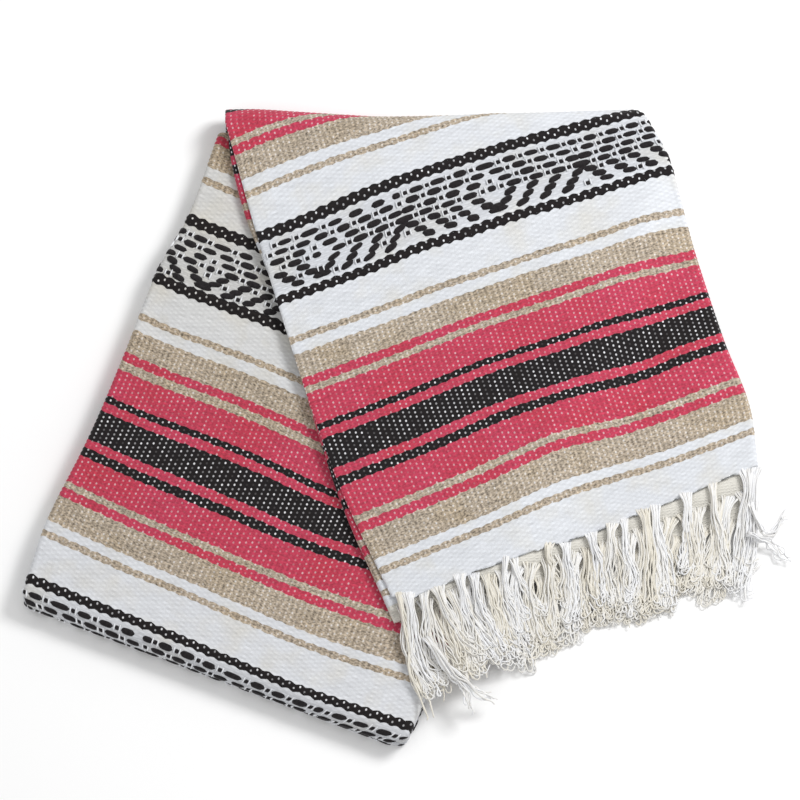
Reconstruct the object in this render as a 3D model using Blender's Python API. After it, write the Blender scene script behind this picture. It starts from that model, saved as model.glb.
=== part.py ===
# A woven blanket, folded in three along its length and then laid as a flat fold,
# with the fringe of its three layers showing at the end of the front arm.
# Sizes and tables are in millimetres, and the mesh is written in metres.
# X runs right, Y away from the viewer, Z up; the blanket lies on Z = 0.

import math

import bmesh
import bpy
from mathutils import Vector

MM = 0.001

# The cloth and its layers
CLOTH = 3.0                      # one thickness of cloth
GAP = 0.3                        # space kept between pieces that touch
STRIP = 12.0                     # the three layers of the folded strip
STACK = 26.0                     # back arm: its strip and the hidden one under it
COVER = STACK + GAP              # underside of the front arm where it crosses the back arm
TOP_FOLD = (COVER + STRIP) / 2   # outer radius of the fold at the top
BOTTOM_FOLD = STACK / 2          # outer radius of the fold at the lower left
SIDE_FOLD = STRIP / 2            # outer radius of a side fold round three layers
HOOK_CLEAR = 6.0                 # in the top fold, layers stop this far short of the side fold
PAIR_FOLD = 4.2                  # outer radius of a side fold round two layers
ROUNDED_END = 26.0               # how far the top fold is rounded off at its right end
NOSE_LEFT = 10.0                 # how far the bottom fold is rounded off, left
NOSE_RIGHT = 16.0                # and right
RETURN_SHARE = 8 / 9             # the cloth turned under the bottom fold ends below here
CURL = 11.5                      # width of the turned-in edge at the left fold
RAMP_START = 20.0                # front arm starts down this far past the back arm
RAMP_WIDTH = 75.0                # and reaches the floor after this width
ACROSS_STEPS = 16                # straight steps across the front arm
HALF_STACK = 12.0                # height that the turned-under cloth pushes the layers up to
FRONT_STEPS = 12                 # and along it
BACK_STEPS = 9                   # steps along the back arm
FOLD_STEPS = 8                   # steps round the top and bottom folds
SIDE_STEPS = 6                   # steps round a side fold

# Middle of the folded blanket, which becomes the origin
MIDDLE_X = 7.92
MIDDLE_Y = -32.44

# Edges of the two arms. share: part of the way from one end to the other
FRONT_LEFT = (   # share, x, y, from the fringe to the top fold
    (0.00, -4.0, -230.0),
    (0.27, -63.0, -97.0),
    (0.63, -122.0, 88.0),
    (1.00, -176.0, 279.0),
)
FRONT_RIGHT = (  # share, x, y
    (0.00, 357.0, -75.0),
    (0.17, 349.0, -9.0),
    (0.37, 325.0, 59.0),
    (0.64, 296.0, 156.0),
    (0.89, 270.0, 246.0),
    (1.00, 251.0, 282.0),
)
BACK_LEFT = (    # share, x, y, from the top fold to the bottom fold
    (0.00, -183.0, 278.0),
    (0.19, -214.0, 185.0),
    (0.31, -243.0, 130.0),
    (0.50, -276.0, 39.0),
    (0.68, -310.0, -48.0),
    (0.87, -351.0, -137.0),
    (1.00, -372.0, -207.0),
)
BACK_RIGHT = (   # share, x, y
    (0.00, 247.0, 281.0),
    (0.45, 141.0, -7.0),
    (0.90, 36.0, -293.0),
    (0.955, 22.0, -328.0),
    (1.00, 9.0, -358.0),
)
TOP_GAP = 0.8                    # the back arm starts this far from the top fold's inside

# How far the fold under the front arm peeps out at its left edge
PEEP = (         # share, width
    (0.00, 8.0),
    (0.15, 6.0),
    (0.35, 1.5),
    (0.60, -3.0),
    (1.00, -4.0),
)

# Edges of the hidden layers: depth under the back arm's top, and inset from its side
HIDDEN_LEFT = (  # depth, inset
    (8.7, 2.0),
    (10.2, 0.8),
    (11.8, 2.2),
    (12.1, 4.5),
    (12.4, 2.4),
    (13.9, 1.2),
    (15.3, 2.6),
    (15.6, 5.0),
    (16.2, 2.0),
    (18.5, 0.2),
    (21.5, 0.0),
    (24.5, 1.6),
    (26.0, 5.5),
)
HIDDEN_RIGHT = ( # depth, inset
    (12.4, 6.4),
    (12.8, 3.4),
    (14.6, 1.0),
    (18.0, 0.0),
    (21.5, 0.4),
    (24.4, 2.2),
    (26.0, 6.0),
)

# The fringe
STRAND_COUNT = 36                # strands on each of the three layers
STRIP_LENGTH = 8.0               # woven edge that the strands hang from
STRAND_WIDTH = 4.6
STRAND_HEIGHT = 2.7
STRAND_LIFT = 0.6                # strands run this far above the underside of their strip
TIP_SHARE = 0.55                 # size of a strand's tip
FRINGE_INSET = 7.0               # fringe starts this far in from each side edge
LEAN = (         # share across, degrees to the right of straight down
    (0.00, 15.0),
    (0.12, 19.0),
    (0.28, 11.0),
    (0.48, 1.0),
    (0.75, -2.0),
    (1.00, 3.0),
)
FRINGE_LAYERS = (  # name, depth of its strip's top, how far it reaches past the top layer
    {"name": "fringe_top", "depth": 0.0, "left": 0.0, "right": 0.0},
    {"name": "fringe_middle", "depth": 4.1, "left": 9.0, "right": 25.0},
    {"name": "fringe_bottom", "depth": 8.6, "left": 18.0, "right": 48.0},
)
STRAND_REACH = (   # share across, length of the top, middle and bottom strands
    (0.00, 92.0, 96.0, 98.0),
    (0.12, 84.0, 88.0, 86.0),
    (0.25, 80.0, 78.0, 80.0),
    (0.36, 84.0, 76.0, 82.0),
    (0.46, 78.0, 80.0, 74.0),
    (0.56, 80.0, 74.0, 66.0),
    (0.66, 88.0, 86.0, 80.0),
    (0.78, 96.0, 88.0, 72.0),
    (0.86, 94.0, 80.0, 62.0),
    (0.92, 104.0, 92.0, 86.0),
    (1.00, 96.0, 82.0, 74.0),
)
STRAY_STRANDS = (  # the two that lie out to the right: points from the root, x and y
    ((350.0, -146.0), (359.0, -162.0), (373.0, -167.0), (388.0, -175.0)),
    ((359.0, -136.0), (365.0, -150.0), (376.0, -145.0), (388.0, -126.0)),
)


# Helpers

def smooth(value):
    t = min(1.0, max(0.0, value))
    return t * t * (3.0 - 2.0 * t)


def read_table(rows, share):
    # Smooth curve through a table's rows, by its first column
    share = min(rows[-1][0], max(rows[0][0], share))
    last = len(rows) - 2
    i = next((k for k in range(last) if share <= rows[k + 1][0]), last)
    a, b = rows[i], rows[i + 1]
    before, after = rows[max(i - 1, 0)], rows[min(i + 2, len(rows) - 1)]
    span = b[0] - a[0]
    t = (share - a[0]) / span
    values = []
    for k in range(1, len(a)):
        slope_a = (b[k] - before[k]) / (b[0] - before[0]) * span
        slope_b = (after[k] - a[k]) / (after[0] - a[0]) * span
        values.append((2*t**3 - 3*t**2 + 1) * a[k] + (t**3 - 2*t**2 + t) * slope_a
                      + (3*t**2 - 2*t**3) * b[k] + (t**3 - t**2) * slope_b)
    return values


def edge_point(rows, share):
    x, y = read_table(rows, share)
    return Vector((x, y, 0.0))


def cover_height(x, y):
    # Height of what lies under the front arm: the back arm, then a slope to the floor
    top = Vector(BACK_RIGHT[0][1:])
    low = Vector(BACK_RIGHT[2][1:])
    along = (low - top).normalized()
    past = (Vector((x, y)) - top).dot(Vector((-along.y, along.x)))
    return COVER * (1.0 - smooth((past - RAMP_START) / RAMP_WIDTH))


def spaced(start, end, count):
    return [start + (end - start) * k / (count - 1) for k in range(count)]


def make_material(name, colour, roughness):
    material = bpy.data.materials.new(name)
    material.use_nodes = True
    shader = material.node_tree.nodes["Principled BSDF"]
    shader.inputs["Base Color"].default_value = (*colour, 1.0)
    shader.inputs["Roughness"].default_value = roughness
    shader.inputs["Metallic"].default_value = 0.0
    return material


def add_object(name, points, faces, material):
    # Mesh in metres about the blanket's middle, with its faces pointing out
    middle = Vector((MIDDLE_X, MIDDLE_Y, 0.0))
    mesh = bpy.data.meshes.new(name)
    mesh.from_pydata([(p - middle) * MM for p in points], [], faces)
    shape = bmesh.new()
    shape.from_mesh(mesh)
    bmesh.ops.recalc_face_normals(shape, faces=shape.faces)
    shape.to_mesh(mesh)
    shape.free()
    mesh.materials.append(material)
    piece = bpy.data.objects.new(name, mesh)
    bpy.context.collection.objects.link(piece)
    return piece


def loft(name, rings, material):
    # Closed body through rings of equal length, capped at both ends
    count = len(rings[0])
    points = [p for ring in rings for p in ring]
    faces = []
    for r in range(len(rings) - 1):
        for k in range(count):
            nxt = (k + 1) % count
            a, b = r * count, (r + 1) * count
            # split each quad the same way on both sides of the cloth
            if points[a + k].x <= points[a + nxt].x:
                faces += [(a + k, a + nxt, b + nxt), (a + k, b + nxt, b + k)]
            else:
                faces += [(a + k, a + nxt, b + k), (a + nxt, b + nxt, b + k)]
    faces.append(tuple(reversed(range(count))))
    faces.append(tuple((len(rings) - 1) * count + k for k in range(count)))
    return add_object(name, points, faces, material)


# Stations: straight lines across an arm, with the direction out of the cloth

class Station:
    # left and right: ends of the line on the cloth's outer face; out: away from the cloth
    def __init__(self, left, right, out, on_cover=False):
        self.left = left
        self.right = right
        self.out = out
        self.width = (right - left).length
        self.across = (right - left).normalized()
        self.heights = None
        if on_cover:
            steps = [left + self.across * e for e in self.steps()]
            self.heights = [cover_height(p.x, p.y) + STRIP for p in steps]

    def steps(self):
        return spaced(0.0, self.width - SIDE_FOLD, ACROSS_STEPS + 1)

    def outer(self, across):
        point = self.left + self.across * across
        if self.heights:
            place = across / (self.width - SIDE_FOLD) * ACROSS_STEPS
            place = min(float(ACROSS_STEPS), max(0.0, place))
            step = min(int(place), ACROSS_STEPS - 1)
            rise = self.heights[step + 1] - self.heights[step]
            point.z = self.heights[step] + rise * (place - step)
        return point

    def point(self, across, depth):
        return self.outer(across) - self.out * depth


def half_turn(start, direction, radius, first, last):
    # Points (across, depth) round a side fold, between two of its steps
    points = []
    for k in range(first, last + 1):
        angle = math.pi * k / SIDE_STEPS
        points.append((start + direction * radius * math.sin(angle),
                       radius * (1.0 - math.cos(angle))))
    return points


def fold_stations(left, right, away, radius, insets):
    # Lines round the outside of a fold that turns down and under: ends at the tangent
    across = (right - left).normalized()
    centre = Vector((0, 0, radius))
    stations = []
    for k in range(FOLD_STEPS + 1):
        turn = math.pi * k / FOLD_STEPS
        out = away * math.sin(turn) + Vector((0, 0, math.cos(turn)))
        round_off = 1.0 - abs(math.cos(turn))
        stations.append(Station(left + across * insets[0] * round_off + centre + out * radius,
                                right - across * insets[1] * round_off + centre + out * radius,
                                out))
    return stations


def front_line(share):
    return edge_point(FRONT_LEFT, share), edge_point(FRONT_RIGHT, share)


def end_line(distance, extra_left=0.0, extra_right=0.0):
    # Line across the fringe end: distance up the arm, less what a lower layer adds
    left, right = front_line(0.0)
    next_left, next_right = front_line(0.05)
    return (left + (next_left - left).normalized() * (distance - extra_left),
            right + (next_right - right).normalized() * (distance - extra_right))


def front_stations():
    # From the fringe end up the arm and half way round the top fold
    up = Vector((0, 0, 1))
    stations = [Station(*end_line(STRIP_LENGTH + GAP), up, on_cover=True)]
    for share in spaced(0.0, 1.0, FRONT_STEPS + 1)[1:]:
        stations.append(Station(*front_line(share), up, on_cover=True))
    left, right = front_line(1.0)
    across = (right - left).normalized()
    away = Vector((-across.y, across.x, 0.0))
    stations += fold_stations(left, right, away, TOP_FOLD, (0.0, ROUNDED_END))[1:]
    return stations


# The front arm

def build_front_arm(material):
    rings = []
    inside = SIDE_FOLD - CLOTH
    for station in front_stations():
        steps = station.steps()
        fold = steps[-1]
        ring = [station.point(e, 0.0) for e in steps]
        ring += [station.point(*p) for p in half_turn(fold, 1.0, SIDE_FOLD, 1, SIDE_STEPS)]
        turn_in = half_turn(fold, 1.0, inside, 1, SIDE_STEPS)
        ring += [station.point(e, CLOTH + depth) for e, depth in reversed(turn_in)]
        ring += [station.point(e, CLOTH) for e in reversed(steps)]
        rings.append(ring)
    return loft("front_arm", rings, material)


def layer_ring(station, peep, top, bottom):
    # Section of the layers under the front arm, rounded at the left
    radius = (bottom - top) / 2
    start = radius - peep
    steps = station.steps()
    steps[0] = start
    steps[-1] -= GAP if station.heights else HOOK_CLEAR
    ring = [station.point(e, top) for e in steps]
    ring += [station.point(e, bottom) for e in reversed(steps)]
    for e, depth in reversed(half_turn(start, -1.0, radius, 1, SIDE_STEPS - 1)):
        ring.append(station.point(e, top + depth))
    return ring


def build_front_layers(material):
    top, bottom = CLOTH + GAP, STRIP
    middle, lowest = FRINGE_LAYERS[1], FRINGE_LAYERS[2]
    step = lowest["depth"] - GAP
    ends = (   # line across, top of the section
        (end_line(STRIP_LENGTH + GAP, lowest["left"], lowest["right"]), step),
        (end_line(STRIP_LENGTH + GAP, middle["left"], middle["right"]), step),
        (end_line(STRIP_LENGTH + 2 * GAP, middle["left"], middle["right"]), top + 2 * GAP),
        (end_line(0.0), top + 2 * GAP),
    )
    rings = []
    for line, section_top in ends:
        station = Station(*line, Vector((0, 0, 1)), on_cover=True)
        rings.append(layer_ring(station, PEEP[0][1], section_top, bottom))
    for k, station in enumerate(front_stations()):
        peep = read_table(PEEP, k / FRONT_STEPS)[0]
        rings.append(layer_ring(station, peep, top, bottom))
    return loft("front_arm_layers", rings, material)


# The back arm

def back_line(share):
    # Line across the back arm; its first line keeps clear of the top fold
    left, right = edge_point(BACK_LEFT, share), edge_point(BACK_RIGHT, share)
    clear = Vector((0, TOP_GAP if share == 0.0 else 0.0, 0))
    return left - clear, right - clear


def bottom_stations():
    # Round the outside of the bottom fold
    left, right = back_line(1.0)
    across = (right - left).normalized()
    away = Vector((across.y, -across.x, 0.0))
    return fold_stations(left, right, away, BOTTOM_FOLD, (NOSE_LEFT, NOSE_RIGHT)), away


def build_back_arm(material):
    rings = []
    inside = SIDE_FOLD - CLOTH
    height = Vector((0, 0, STACK))
    for share in spaced(0.0, 1.0, BACK_STEPS + 1):
        left, right = back_line(share)
        station = Station(left + height, right + height, Vector((0, 0, 1)))
        fold = station.width - SIDE_FOLD
        shape = [(e, 0.0) for e in spaced(PAIR_FOLD, fold, 9)]
        shape += half_turn(fold, 1.0, SIDE_FOLD, 1, SIDE_STEPS)
        shape += [(e, CLOTH + d) for e, d in
                  reversed(half_turn(fold, 1.0, inside, 1, SIDE_STEPS))]
        shape += [(e, CLOTH) for e in spaced(fold, CURL + CLOTH, 9)]
        shape.append((CURL, 2 * PAIR_FOLD))
        shape += reversed(half_turn(PAIR_FOLD, -1.0, PAIR_FOLD, 1, SIDE_STEPS))
        rings.append([station.point(e, depth) for e, depth in shape])
    return loft("back_arm", rings, material)


def build_bottom_fold(material):
    # The same cloth where it goes round the bottom fold and back underneath
    stations, away = bottom_stations()
    left, right = back_line(RETURN_SHARE)
    stations.append(Station(left, right, Vector((0, 0, -1))))
    rings = []
    for station in stations:
        shift = away * GAP
        steps = spaced(0.0, station.width, 9)
        ring = [station.point(e, 0.0) + shift for e in steps]
        ring += [station.point(e, CLOTH) + shift for e in reversed(steps)]
        rings.append(ring)
    return loft("bottom_fold", rings, material)


def hidden_ring(left, right, low, high, filled):
    # Section of the hidden layers between two heights, with their edges in steps
    width = (right - left).length
    across = (right - left).normalized()
    room = STACK - CLOTH - GAP
    top = CLOTH + GAP
    start, end = CURL + CLOTH + 2 * GAP, width - SIDE_FOLD - GAP
    shelf = CURL + CLOTH
    if filled:
        start, end, shelf = 3.0, width - 3.0, 1.5
    shape = [(e, top) for e in spaced(start, end, 8)]
    shape += [(width - inset, depth) for depth, inset in HIDDEN_RIGHT]
    shape += [(e, STACK) for e in spaced(width - 16.0, 16.0, 8)]
    shape += [(inset, depth) for depth, inset in reversed(HIDDEN_LEFT)]
    shape.append((shelf, 2 * PAIR_FOLD + GAP / 2))
    ring = []
    for along, depth in shape:
        point = left + across * along
        height = STACK - depth
        if filled:
            point.z = low + (high - low) * height / room
        else:
            point.z = max(height, low + height * (HALF_STACK - low) / HALF_STACK)
        ring.append(point)
    return ring


def build_back_layers(material):
    top = STACK - CLOTH - GAP
    lifted = CLOTH + GAP
    rings = []
    for share in spaced(0.0, RETURN_SHARE, BACK_STEPS):
        rings.append(hidden_ring(*back_line(share), 0.0, top, False))
    stations, away = bottom_stations()
    left, right = back_line(RETURN_SHARE)
    rings.append(hidden_ring(left + away * GAP / 2, right + away * GAP / 2, lifted, top, False))
    left, right = back_line(1.0)
    rings.append(hidden_ring(left, right, lifted, top, False))
    half = BOTTOM_FOLD - CLOTH - GAP
    for k in range(FOLD_STEPS // 2):
        turn = math.pi * k / FOLD_STEPS
        clear = away * (GAP if k == 0 else 0.0)
        station = stations[k]
        left, right = (p - away * (BOTTOM_FOLD - half) * math.sin(turn) + clear
                       for p in (station.left, station.right))
        low, high = BOTTOM_FOLD - half * math.cos(turn), BOTTOM_FOLD + half * math.cos(turn)
        left.z = right.z = 0.0
        rings.append(hidden_ring(left, right, low, high, True))
    return loft("back_arm_layers", rings, material)


# The fringe

def strand_path(root, length, share, sway, bottom):
    # Centre line of a strand, from its root to its tip, just clear of what it lies on
    lean = math.radians(read_table(LEAN, share)[0] + sway)
    direction = Vector((math.sin(lean), -math.cos(lean), 0.0))
    side = Vector((direction.y, -direction.x, 0.0))
    path = []
    for k in range(1, 5):
        t = k / 4
        point = root + direction * length * t + side * 1.6 * math.sin(5.2 * t + 7.0 * share)
        point.z = cover_height(point.x, point.y) + bottom + STRAND_LIFT + STRAND_HEIGHT / 2
        path.append(point)
    return path


def build_fringe(layer, order, material):
    low = STRIP - layer["depth"] - CLOTH
    up = Vector((0, 0, 1))
    front = Station(*end_line(0.0, layer["left"], layer["right"]), up, on_cover=True)
    back = Station(*end_line(STRIP_LENGTH, layer["left"], layer["right"]), up, on_cover=True)
    width = front.width
    pitch = (width - 2 * FRINGE_INSET) / STRAND_COUNT
    cuts = [FRINGE_INSET]
    for k in range(STRAND_COUNT):
        middle = FRINGE_INSET + pitch * (k + 0.5)
        cuts += [middle - STRAND_WIDTH / 2, middle + STRAND_WIDTH / 2]
    cuts.append(width - FRINGE_INSET)

    points = []
    faces = []
    for cut in cuts:
        for station in (front, back):
            across = cut / width * station.width
            points.append(station.point(across, layer["depth"] + CLOTH))
            points.append(station.point(across, layer["depth"]))
    # each cut has four points: front low, front high, back low, back high
    for k in range(len(cuts) - 1):
        a, b = 4 * k, 4 * k + 4
        faces.append((a + 1, b + 1, b + 3, a + 3))
        faces.append((a + 2, b + 2, b, a))
        faces.append((a + 3, b + 3, b + 2, a + 2))
        if k % 2 == 0:
            faces.append((a, b, b + 1, a + 1))
            continue
        strand = (k - 1) // 2
        share = (strand + 0.5) / STRAND_COUNT
        lengths = read_table(STRAND_REACH, share)
        uneven = math.sin(12.9 * strand + 4.1 * order)
        length = lengths[order] + 6.0 * uneven
        root = (points[a] + points[b]) / 2
        root.z = 0.0
        path = strand_path(root, length, share, 1.1 * math.sin(2.3 * strand + order), low)
        stray = strand - (STRAND_COUNT - len(STRAY_STRANDS))
        if order == 2 and stray >= 0:
            path = [Vector((x, y, low + STRAND_LIFT + STRAND_HEIGHT / 2)) for x, y in STRAY_STRANDS[stray]]
        ring = (a, b, b + 1, a + 1)
        before = root
        for number, spot in enumerate(path):
            after = path[min(number + 1, len(path) - 1)]
            forward = (after - before)
            forward.z = 0.0
            side = Vector((-forward.y, forward.x, 0.0)).normalized()
            size = 1.0 - (1.0 - TIP_SHARE) * (number + 1) / len(path)
            half = side * STRAND_WIDTH / 2 * size
            rise = Vector((0, 0, STRAND_HEIGHT / 2 * size))
            start = len(points)
            points += [spot - half - rise, spot + half - rise, spot + half + rise, spot - half + rise]
            new = (start, start + 1, start + 2, start + 3)
            for j in range(4):
                nxt = (j + 1) % 4
                faces.append((ring[j], ring[nxt], new[nxt], new[j]))
            ring = new
            before = spot
        faces.append(ring)
    last = 4 * (len(cuts) - 1)
    faces.append((0, 1, 3, 2))
    faces.append((last, last + 2, last + 3, last + 1))
    return add_object(layer["name"], points, faces, material)


def clear_scene():
    for piece in list(bpy.data.objects):
        bpy.data.objects.remove(piece, do_unlink=True)


def main():
    clear_scene()
    woven = make_material("woven_back", (0.62, 0.36, 0.34), 0.9)
    build_back_arm(woven)
    build_bottom_fold(woven)
    build_back_layers(make_material("hidden_back", (0.58, 0.52, 0.46), 0.95))
    build_front_arm(make_material("woven_front", (0.68, 0.42, 0.40), 0.9))
    build_front_layers(make_material("hidden_front", (0.60, 0.54, 0.48), 0.95))
    for order, layer in enumerate(FRINGE_LAYERS):
        build_fringe(layer, order, make_material(layer["name"] + "_yarn", (0.82, 0.81, 0.76), 0.95))


main()
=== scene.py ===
import math

import bmesh
import bpy
import numpy as np
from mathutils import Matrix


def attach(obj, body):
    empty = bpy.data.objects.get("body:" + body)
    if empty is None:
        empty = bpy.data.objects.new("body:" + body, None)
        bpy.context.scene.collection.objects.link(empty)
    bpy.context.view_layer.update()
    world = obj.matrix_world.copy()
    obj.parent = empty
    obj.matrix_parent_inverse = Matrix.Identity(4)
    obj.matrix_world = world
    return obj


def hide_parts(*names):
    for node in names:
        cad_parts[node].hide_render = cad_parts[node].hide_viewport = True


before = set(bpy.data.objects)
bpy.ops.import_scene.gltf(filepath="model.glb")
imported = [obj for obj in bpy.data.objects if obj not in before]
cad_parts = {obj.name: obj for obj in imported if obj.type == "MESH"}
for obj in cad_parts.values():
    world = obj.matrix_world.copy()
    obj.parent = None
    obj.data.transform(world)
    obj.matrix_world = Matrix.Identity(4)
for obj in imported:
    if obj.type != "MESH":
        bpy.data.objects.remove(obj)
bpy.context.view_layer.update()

# Sizes are in millimetres about the photograph's middle, until toFrame turns them into metres
mm = 0.001
frameMiddle = np.array((7.92, -32.44, 0.0))
up = np.array((0.0, 0.0, 1.0))

# How the blanket is folded, as in the solids
folded = {
    "cloth": 2.7,               # one thickness of cloth
    "strip": 12.0,              # three layers, as the front arm has
    "stack": 26.0,              # top of the back arm
    "cover": 26.3,              # what the front arm lies on, where it crosses the back arm
    "rampStart": 20.0,          # past the back arm it slopes down to the floor
    "rampWidth": 75.0,
    "topFold": 19.15,           # outer radii of the folds
    "bottomFold": 13.0,
    "sideFold": 6.0,
    "leftFold": 4.2,
    "roundedEnd": 26.0,         # rounded corner of the top fold
    "noses": (10.0, 16.0),      # and of the bottom fold, left and right
    "returnShare": 8 / 9,       # cloth goes back under the bottom fold as far as this
}
frontLeft = (    # share, x, y, from the fringe to the top fold
    (0.00, -4.0, -230.0),
    (0.27, -63.0, -97.0),
    (0.63, -122.0, 88.0),
    (1.00, -176.0, 279.0),
)
frontRight = (   # share, x, y
    (0.00, 357.0, -75.0),
    (0.17, 349.0, -9.0),
    (0.37, 325.0, 59.0),
    (0.64, 296.0, 156.0),
    (0.89, 270.0, 246.0),
    (1.00, 251.0, 282.0),
)
backLeft = (     # share, x, y, from the top fold to the bottom fold
    (0.00, -183.0, 277.2),
    (0.19, -214.0, 185.0),
    (0.31, -243.0, 130.0),
    (0.50, -276.0, 39.0),
    (0.68, -310.0, -48.0),
    (0.87, -351.0, -137.0),
    (1.00, -372.0, -207.0),
)
backRight = (    # share, x, y
    (0.00, 247.0, 280.2),
    (0.45, 141.0, -7.0),
    (0.90, 36.0, -293.0),
    (0.955, 22.0, -328.0),
    (1.00, 9.0, -358.0),
)

# The weave: lengths along the warp are pattern lengths, counted from the fringe
weave = {
    "endPitch": 5.87,           # from warp thread to warp thread
    "pickPitch": 2.24,          # from weft to weft
    "relief": 0.7,              # height of a weft's bulges
    "chainRise": 0.7,           # the chain lines stand proud
    "frontStretch": 1.05,       # millimetres to a pattern length, round the top fold
    "backShare": 0.96,          # pattern length to a millimetre, round the bottom fold and under it
    "plainEnd": 22.0,           # the white end has no chain line
    "narrowChain": 328.0,       # the front arm's lower chain line lacks a pick here
    "firstBar": 162.0,          # middle of the first black bar
    "halfRepeat": 194.0,        # from there to the middle of the diamonds
    "ground": (165.0, 168.3),   # from the bar, where the diamonds' ground starts and is full
    "hiddenEnds": (-5.0, -10.0),    # below these are the hidden layers' ends
    "shadeChange": (760.0, 900.0),   # where an arm's painted shade changes to its last, lighter tint
}


# Helpers

def smooth(value):
    t = np.clip(value, 0.0, 1.0)
    return t * t * (3.0 - 2.0 * t)


def unit(vectors):
    return vectors / np.maximum(np.linalg.norm(vectors, axis=-1, keepdims=True), 1e-9)


def readTable(rows, share):
    # smooth curve through the rows, by their first column
    rows = np.array(rows, float)
    share = np.clip(np.asarray(share, float), rows[0, 0], rows[-1, 0])
    i = np.clip(np.searchsorted(rows[:, 0], share, side="left") - 1, 0, len(rows) - 2)
    a, b = rows[i], rows[i + 1]
    before, after = rows[np.maximum(i - 1, 0)], rows[np.minimum(i + 2, len(rows) - 1)]
    span = b[..., :1] - a[..., :1]
    t = (share[..., None] - a[..., :1]) / span
    slopeA = (b - before) / (b[..., :1] - before[..., :1]) * span
    slopeB = (after - a) / (after[..., :1] - a[..., :1]) * span
    curve = ((2 * t**3 - 3 * t**2 + 1) * a + (t**3 - 2 * t**2 + t) * slopeA
             + (3 * t**2 - 2 * t**3) * b + (t**3 - t**2) * slopeB)
    return curve[..., 1:]


def edgePoint(rows, share, height=0.0):
    place = readTable(rows, share)
    return np.concatenate([place, np.full_like(place[..., :1], height)], axis=-1)


def coverHeight(x, y):
    # what lies under the front arm: the back arm, then a slope down to the floor
    top, low = np.array(backRight[0][1:]) + (0.0, 0.8), np.array(backRight[2][1:])
    along = (low - top) / np.linalg.norm(low - top)
    past = (x - top[0]) * -along[1] + (y - top[1]) * along[0]
    return folded["cover"] * (1.0 - smooth((past - folded["rampStart"]) / folded["rampWidth"]))


def toFrame(points):
    return (np.asarray(points, float) - frameMiddle) * mm


def addPiece(name, points, faces, material, place):
    # faces: lists of arrays, each with one count of corners; place: u and v for each point
    mesh = bpy.data.meshes.new(name)
    corners = np.concatenate([np.asarray(f, np.int64).ravel() for f in faces])
    sizes = np.concatenate([np.full(len(f), np.asarray(f).shape[1]) for f in faces])
    mesh.vertices.add(len(points))
    mesh.vertices.foreach_set("co", toFrame(points).ravel())
    mesh.loops.add(len(corners))
    mesh.loops.foreach_set("vertex_index", corners)
    mesh.polygons.add(len(sizes))
    mesh.polygons.foreach_set("loop_start", np.concatenate([[0], np.cumsum(sizes)[:-1]]))
    mesh.update(calc_edges=True)
    mesh.validate()
    layer = mesh.uv_layers.new(name="clothPlace")
    layer.data.foreach_set("uv", np.asarray(place, np.float32)[corners].ravel())
    shape = bmesh.new()
    shape.from_mesh(mesh)
    bmesh.ops.recalc_face_normals(shape, faces=shape.faces)
    shape.to_mesh(mesh)
    shape.free()
    mesh.shade_smooth()
    mesh.materials.append(material)
    piece = bpy.data.objects.new(name, mesh)
    bpy.context.collection.objects.link(piece)
    return piece


# Materials

class Value:
    # a number that differs from point to point in a material: sums with it become its nodes
    def __init__(self, material, socket):
        self.material, self.socket = material, socket

    def __add__(self, other):
        return calculate("ADD", self, other)

    def __sub__(self, other):
        return calculate("SUBTRACT", self, other)

    def __rsub__(self, other):
        return calculate("SUBTRACT", other, self)

    def __mul__(self, other):
        return calculate("MULTIPLY", self, other)

    def __truediv__(self, other):
        return calculate("DIVIDE", self, other)

    def __abs__(self):
        return calculate("ABSOLUTE", self)


def addNode(material, kind, settings=(), inputs=()):
    node = material.node_tree.nodes.new("ShaderNode" + kind)
    for key, value in dict(settings).items():
        setattr(node, key, value)
    for key, value in dict(inputs).items():
        if isinstance(value, Value):
            value = value.socket
        if isinstance(value, bpy.types.NodeSocket):
            material.node_tree.links.new(value, node.inputs[key])
        else:
            node.inputs[key].default_value = value
    return node


def calculate(operation, *values):
    # one step of arithmetic, in the material that the values belong to
    material = next(value.material for value in values if isinstance(value, Value))
    node = addNode(material, "Math", {"operation": operation}, dict(enumerate(values)))
    return Value(material, node.outputs[0])


def clamped(value):
    return Value(value.material, addNode(value.material, "Clamp", (), {0: value}).outputs[0])


def ranged(value, low, high, most=1.0):
    # nothing up to the low limit, rising to the most at the high one
    node = addNode(value.material, "MapRange", (), {0: value, 1: low, 2: high, 3: 0.0, 4: most})
    return Value(value.material, node.outputs[0])


def pair(first, second):
    # two numbers as one place
    return addNode(first.material, "CombineXYZ", (), {0: first, 1: second}).outputs[0]


def noise(material, place, scale, detail, roughness=0.5):
    node = addNode(material, "TexNoise", (), {"Vector": place, "Scale": scale, "Detail": detail,
                                              "Roughness": roughness})
    return Value(material, node.outputs[0])


def chance(first, second):
    # a random number for each pair of whole numbers
    node = addNode(first.material, "TexWhiteNoise", {"noise_dimensions": "2D"},
                   {"Vector": pair(first, second)})
    return Value(first.material, node.outputs[0])


def mixColour(material, factor, first, second, blend="MIX"):
    node = addNode(material, "Mix", {"data_type": "RGBA", "blend_type": blend},
                   {0: factor, 6: first, 7: second})
    return node.outputs[2]


def linear(red, green, blue):
    # a colour as read on screen, 0 to 255, as light
    values = [c / 255 for c in (red, green, blue)]
    return (*[c / 12.92 if c <= 0.04045 else ((c + 0.055) / 1.055) ** 2.4 for c in values], 1.0)


wool = {
    "white": linear(219, 222, 227),
    "tan": linear(175, 162, 145),
    "red": linear(192, 65, 91),
    "black": linear(25, 22, 24),
    "warp": linear(236, 237, 240),
    "cream": linear(226, 221, 209),
    "ground": linear(122, 124, 136),    # shade in the gaps of the diamonds' ground
    "hiddenEnd": linear(233, 230, 221),
    "hollow": linear(70, 60, 58),       # shade between the bulges of the weft
    "blackSheen": linear(46, 42, 44),
}

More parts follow.
